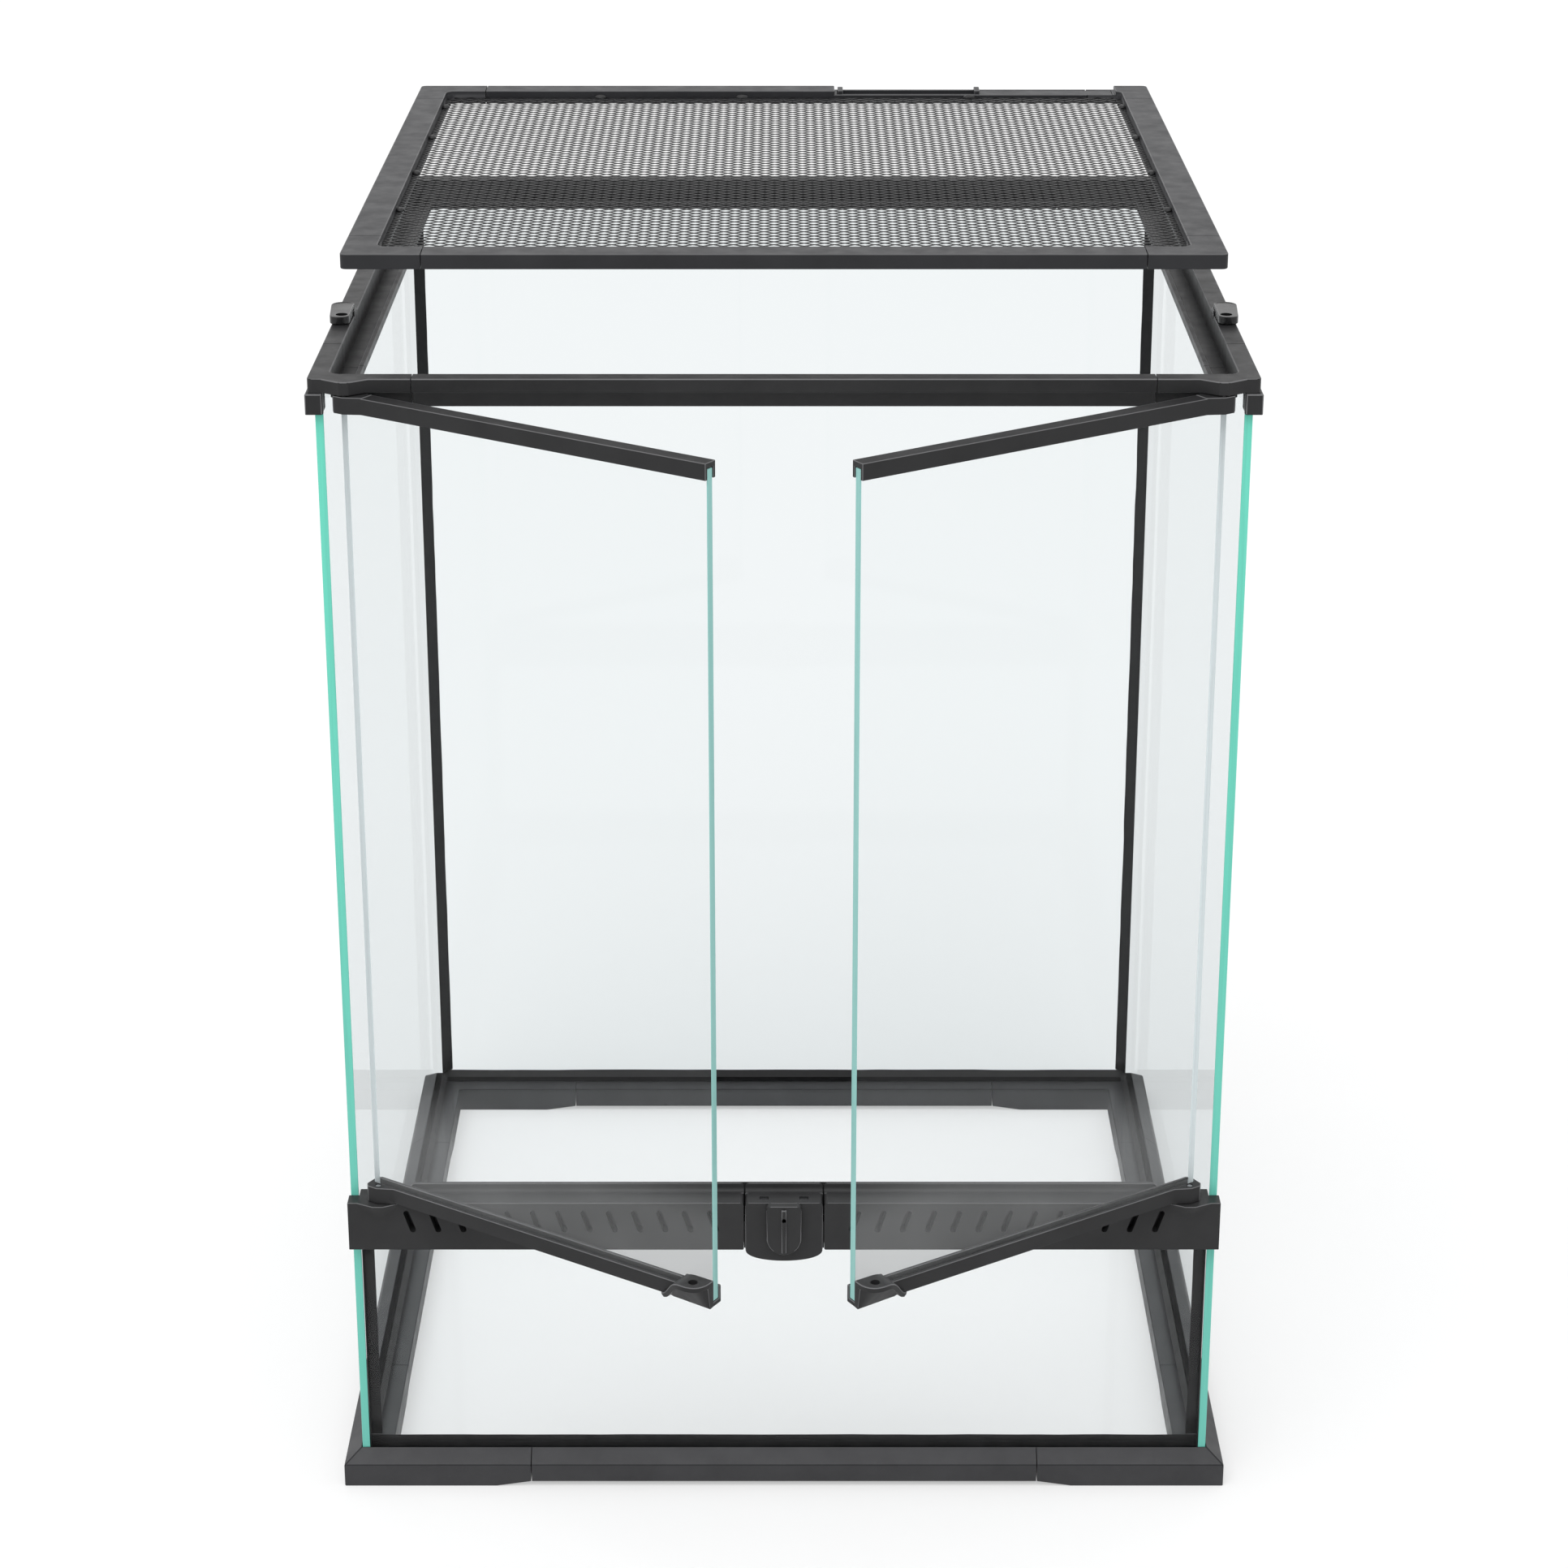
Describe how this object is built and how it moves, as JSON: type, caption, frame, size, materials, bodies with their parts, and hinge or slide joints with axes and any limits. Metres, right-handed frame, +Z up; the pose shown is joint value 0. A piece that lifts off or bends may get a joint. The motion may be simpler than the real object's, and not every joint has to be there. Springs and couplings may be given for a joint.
{
  "type": "front-opening glass terrarium",
  "caption": "Glass terrarium with outward-swinging front doors, a vent strip with a turn-knob lock, a raised base frame and a lift-off mesh lid held by swivel latches.",
  "frame": {"origin": "middle of the whole object's outline in plan, doors open, at the level of the feet", "axes": "+Z up, the doors open towards -Y, +X to the right when seen from the front"},
  "size_m": [0.462, 0.578, 0.6562],
  "materials": {
    "base_plastic": "matte, fine grain",
    "frame_plastic": "matte",
    "door_plastic": "matte",
    "lid_plastic": "matte",
    "lock_plastic": "satin",
    "silicone": "satin",
    "pane_glass": "clear float glass with polished edges",
    "screen_metal": "black coated expanded mesh",
    "steel": "bright"
  },
  "bodies": {
    "tank": {"base_corner_front_left": "base_plastic", "base_corner_front_right": "base_plastic", "base_corner_back_right": "base_plastic", "base_corner_back_left": "base_plastic", "base_rail_front": "base_plastic", "base_rail_right": "base_plastic", "base_rail_back": "base_plastic", "base_rail_left": "base_plastic", "floor_glass": "pane_glass", "back_glass": "pane_glass", "front_lower_glass": "pane_glass", "left_glass": "pane_glass", "right_glass": "pane_glass", "seal_front_left": "silicone", "seal_front_right": "silicone", "seal_back_right": "silicone", "seal_back_left": "silicone", "floor_seal": "silicone", "top_corner_front_left": "frame_plastic", "top_corner_front_right": "frame_plastic", "top_corner_back_right": "frame_plastic", "top_corner_back_left": "frame_plastic", "top_rail_front": "frame_plastic", "top_rail_right": "frame_plastic", "top_rail_back": "frame_plastic", "top_rail_left": "frame_plastic", "vent_strip": "base_plastic", "lock_housing": "lock_plastic", "latch_pivot_left": "steel", "latch_pivot_right": "steel"},
    "left_door": {"left_door_glass": "pane_glass", "left_door_top_rail": "door_plastic", "left_door_bottom_rail": "door_plastic", "left_door_top_pin": "steel", "left_door_bottom_pin": "steel", "left_door_handle": "door_plastic"},
    "right_door": {"right_door_glass": "pane_glass", "right_door_top_rail": "door_plastic", "right_door_bottom_rail": "door_plastic", "right_door_top_pin": "steel", "right_door_bottom_pin": "steel", "right_door_handle": "door_plastic"},
    "turn_knob": {"lock_knob": "lock_plastic", "lock_spindle": "steel"},
    "peg_bar": {"latch_bar": "steel"},
    "lid": {"lid_corner_front_left": "lid_plastic", "lid_corner_front_right": "lid_plastic", "lid_corner_back_right": "lid_plastic", "lid_corner_back_left": "lid_plastic", "lid_rail_front": "lid_plastic", "lid_rail_left": "lid_plastic", "lid_rail_right": "lid_plastic", "lid_rail_back": "lid_plastic", "mesh_screen": "screen_metal"},
    "left_gate": {"cable_gate_left": "lid_plastic"},
    "right_gate": {"cable_gate_right": "lid_plastic"},
    "left_lid_latch": {"lid_latch_left": "frame_plastic"},
    "right_lid_latch": {"lid_latch_right": "frame_plastic"}
  },
  "joints": [
    {"name": "left_door_hinge", "type": "hinge", "parent": "tank", "child": "left_door", "pos_m": [-0.207, -0.16952, 0.38], "axis": [0, 0, -1], "range_deg": [-33, 77]},
    {"name": "right_door_hinge", "type": "hinge", "parent": "tank", "child": "right_door", "pos_m": [0.207, -0.16952, 0.38], "axis": [0, 0, 1], "range_deg": [-33, 77]},
    {"name": "lock_knob_turn", "type": "hinge", "parent": "tank", "child": "turn_knob", "pos_m": [0, -0.17222, 0.1542], "axis": [0, 1, 0], "range_deg": [-90, 0]},
    {"name": "peg_bar_slide", "type": "slide", "parent": "tank", "child": "peg_bar", "axis": [0, 0, 1], "range_m": [0, 0.004]},
    {"name": "lid_lift", "type": "slide", "parent": "tank", "child": "lid", "axis": [0, 0, 1], "range_m": [-0.0595, 0.1]},
    {"name": "left_gate_slide", "type": "slide", "parent": "lid", "child": "left_gate", "axis": [1, 0, 0], "range_m": [0, 0.065]},
    {"name": "right_gate_slide", "type": "slide", "parent": "lid", "child": "right_gate", "axis": [1, 0, 0], "range_m": [-0.065, 0]},
    {"name": "left_lid_latch_swivel", "type": "hinge", "parent": "tank", "child": "left_lid_latch", "pos_m": [-0.2202, -0.05902, 0.6], "axis": [0, 0, 1], "range_deg": [-90, 0]},
    {"name": "right_lid_latch_swivel", "type": "hinge", "parent": "tank", "child": "right_lid_latch", "pos_m": [0.2202, -0.05902, 0.6], "axis": [0, 0, -1], "range_deg": [-90, 0]}
  ],
  "couplings": [
    {"joint": "peg_bar_slide", "follows": "lock_knob_turn", "m_per_rad": -0.002546}
  ]
}
